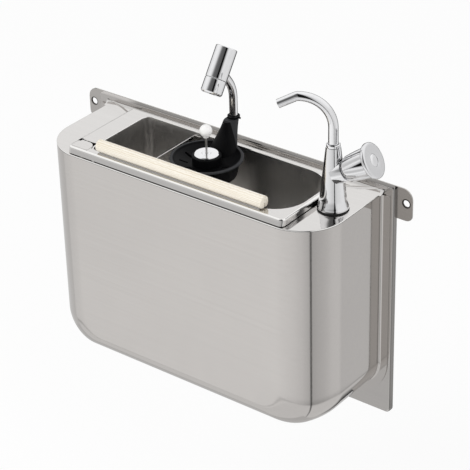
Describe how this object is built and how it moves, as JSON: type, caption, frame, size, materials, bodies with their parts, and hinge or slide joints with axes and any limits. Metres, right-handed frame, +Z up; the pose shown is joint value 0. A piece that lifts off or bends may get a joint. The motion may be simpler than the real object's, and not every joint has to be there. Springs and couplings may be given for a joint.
{
  "type": "dipper well",
  "caption": "Wall-hung stainless rinse basin with swivel tap, press-knob rinse bowl with spray arm, divider, wooden wiping bar, drain and trap.",
  "frame": {"origin": "on the wall face, at the back of the hanging strap, midway between the two fixing holes", "axes": "+X to the right seen from the front, -Y out from the wall towards the user, +Z up"},
  "size_m": [0.592, 0.171, 0.5472],
  "materials": {
    "wall_panel": "satin brushed stainless",
    "hanging_strap": "satin brushed stainless",
    "outer_shell": "satin brushed stainless",
    "deck_plate": "satin brushed stainless",
    "tray_rim": "satin brushed stainless",
    "basin_bowl": "satin stainless",
    "divider_plate": "satin stainless",
    "bar_rail": "satin brushed stainless",
    "bar_end_stop": "satin brushed stainless",
    "scraper_bar": "bare, fine-grained",
    "rinse_bowl": "satin black moulding",
    "valve_housing": "satin black moulding",
    "valve_disc": "polished",
    "plunger_stem": "polished",
    "valve_seal": "matt",
    "press_knob": "smooth white",
    "return_spring": "spring wire",
    "standpipe": "satin black moulding",
    "standpipe_washer": "matt",
    "standpipe_nut": "satin black moulding",
    "riser_tube": "polished",
    "riser_collar": "satin black moulding",
    "spray_head": "polished",
    "nozzle_ring": "polished",
    "spray_plate": "satin black moulding",
    "tap_gasket": "matt",
    "tap_body": "polished",
    "spout_collar": "polished",
    "tap_shank": "machined",
    "tap_washer": "matt",
    "tap_back_nut": "machined",
    "spout": "polished",
    "valve_bonnet": "polished",
    "valve_spindle": "machined",
    "handwheel": "polished",
    "wheel_cap": "polished",
    "waste_flange": "satin brushed stainless",
    "waste_gasket": "matt",
    "waste_nut": "moulded",
    "strainer": "satin brushed stainless",
    "trap_body": "moulded",
    "trap_dip_tube": "moulded",
    "trap_cap": "moulded",
    "trap_outlet": "moulded",
    "supply_tee": "machined",
    "tap_feed_pipe": "drawn copper tube",
    "rinse_feed_pipe": "drawn copper tube",
    "stop_valve": "polished",
    "inlet_pipe": "drawn copper tube",
    "stop_handle": "polished"
  },
  "bodies": {
    "sink": {"wall_panel": "wall_panel", "hanging_strap": "hanging_strap", "outer_shell": "outer_shell", "deck_plate": "deck_plate", "tray_rim": "tray_rim", "basin_bowl": "basin_bowl", "divider_plate": "divider_plate", "bar_rail": "bar_rail", "bar_end_stop": "bar_end_stop", "rinse_bowl": "rinse_bowl", "valve_housing": "valve_housing", "valve_disc": "valve_disc", "return_spring": "return_spring", "standpipe": "standpipe", "standpipe_washer": "standpipe_washer", "standpipe_nut": "standpipe_nut", "riser_collar": "riser_collar", "tap_gasket": "tap_gasket", "tap_body": "tap_body", "spout_collar": "spout_collar", "tap_shank": "tap_shank", "tap_washer": "tap_washer", "tap_back_nut": "tap_back_nut", "valve_bonnet": "valve_bonnet", "waste_flange": "waste_flange", "waste_gasket": "waste_gasket", "waste_nut": "waste_nut", "trap_body": "trap_body", "trap_dip_tube": "trap_dip_tube", "trap_cap": "trap_cap", "trap_outlet": "trap_outlet", "supply_tee": "supply_tee", "tap_feed_pipe": "tap_feed_pipe", "rinse_feed_pipe": "rinse_feed_pipe", "stop_valve": "stop_valve", "inlet_pipe": "inlet_pipe"},
    "knob": {"press_knob": "press_knob", "plunger_stem": "plunger_stem", "valve_seal": "valve_seal"},
    "spout": {"spout": "spout"},
    "wheel": {"handwheel": "handwheel", "wheel_cap": "wheel_cap", "valve_spindle": "valve_spindle"},
    "riser": {"riser_tube": "riser_tube", "spray_head": "spray_head"},
    "ring": {"nozzle_ring": "nozzle_ring", "spray_plate": "spray_plate"},
    "bar": {"scraper_bar": "scraper_bar"},
    "strainer": {"strainer": "strainer"},
    "stop_lever": {"stop_handle": "stop_handle"}
  },
  "joints": [
    {"name": "knob_press", "type": "slide", "parent": "sink", "child": "knob", "axis": [0, 0, -1], "range_m": [0, 0.008], "stiffness_N_per_m": 400, "springref_m": -0.003, "deforming": ["return_spring"]},
    {"name": "spout_swivel", "type": "hinge", "parent": "sink", "child": "spout", "pos_m": [0.218, -0.082, 0.105], "axis": [0, 0, 1], "range_deg": [-90, 90]},
    {"name": "handwheel_turn", "type": "hinge", "parent": "sink", "child": "wheel", "pos_m": [0.218, -0.082, 0.0614], "axis": [0.8509, 0.1747, 0.4955], "range_deg": [0, 540]},
    {"name": "riser_swivel", "type": "hinge", "parent": "sink", "child": "riser", "pos_m": [0.002, -0.0224, 0.066], "axis": [0, 0, 1], "range_deg": [-35, 35]},
    {"name": "nozzle_turn", "type": "hinge", "parent": "riser", "child": "ring", "pos_m": [0.002, -0.0535, 0.148], "axis": [0, -0.5736, -0.8192], "range_deg": [0, 90]},
    {"name": "bar_lift", "type": "slide", "parent": "sink", "child": "bar", "axis": [0, 0, 1], "range_m": [0, 0.06]},
    {"name": "strainer_lift", "type": "slide", "parent": "sink", "child": "strainer", "axis": [0, 0, 1], "range_m": [0, 0.1]},
    {"name": "stop_turn", "type": "hinge", "parent": "sink", "child": "stop_lever", "pos_m": [0.218, -0.0653, -0.252], "axis": [0, 1, 0], "range_deg": [0, 90]}
  ]
}
